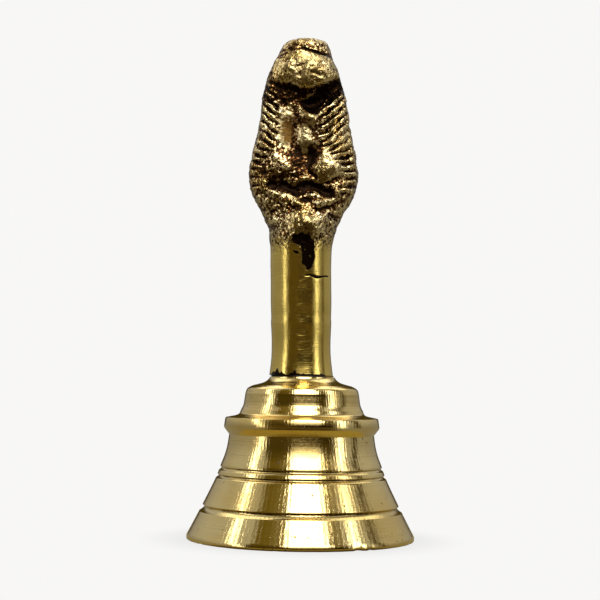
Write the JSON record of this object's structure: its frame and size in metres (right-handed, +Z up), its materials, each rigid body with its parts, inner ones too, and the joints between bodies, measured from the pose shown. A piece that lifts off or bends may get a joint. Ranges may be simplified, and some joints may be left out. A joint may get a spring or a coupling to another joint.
{
  "type": "sanctus bell",
  "caption": "Small cast brass altar hand bell with a turned cup, a cast handle bearing a winged kneeling figure, and a clapper hung inside on rings.",
  "frame": {"origin": "centre of the mouth's flat rim, on the bell's axis", "axes": "+Z up the handle, -Y towards the figure's front, +X to the right of a viewer who faces the figure"},
  "size_m": [0.052, 0.052, 0.1156],
  "materials": {
    "cup_brass": "turned and polished, with fine tool lines",
    "handle_brass": "rough cast figure with dark patina in the hollows, filed stem",
    "seam_black": "dull blackened filler",
    "steel": "plain, slightly tarnished",
    "iron_wire": "dark drawn iron",
    "ball_brass": "turned, bruised where it strikes"
  },
  "bodies": {
    "root": {"bell_cup": "cup_brass", "handle": "handle_brass", "seam_filler": "seam_black", "eye_stud": "steel", "crown_washer": "steel", "crown_nut": "steel"},
    "link": {"clapper_link": "iron_wire"},
    "clapper": {"clapper_rod": "iron_wire", "clapper_ball": "ball_brass"}
  },
  "joints": [
    {"name": "link_swing", "type": "hinge", "parent": "root", "child": "link", "pos_m": [0, 0, 0.0243], "axis": [0, 1, 0], "range_deg": [-42, 42]},
    {"name": "clapper_sway", "type": "hinge", "parent": "link", "child": "clapper", "pos_m": [0, 0, 0.0206], "axis": [1, 0, 0], "range_deg": [-20, 20]}
  ]
}
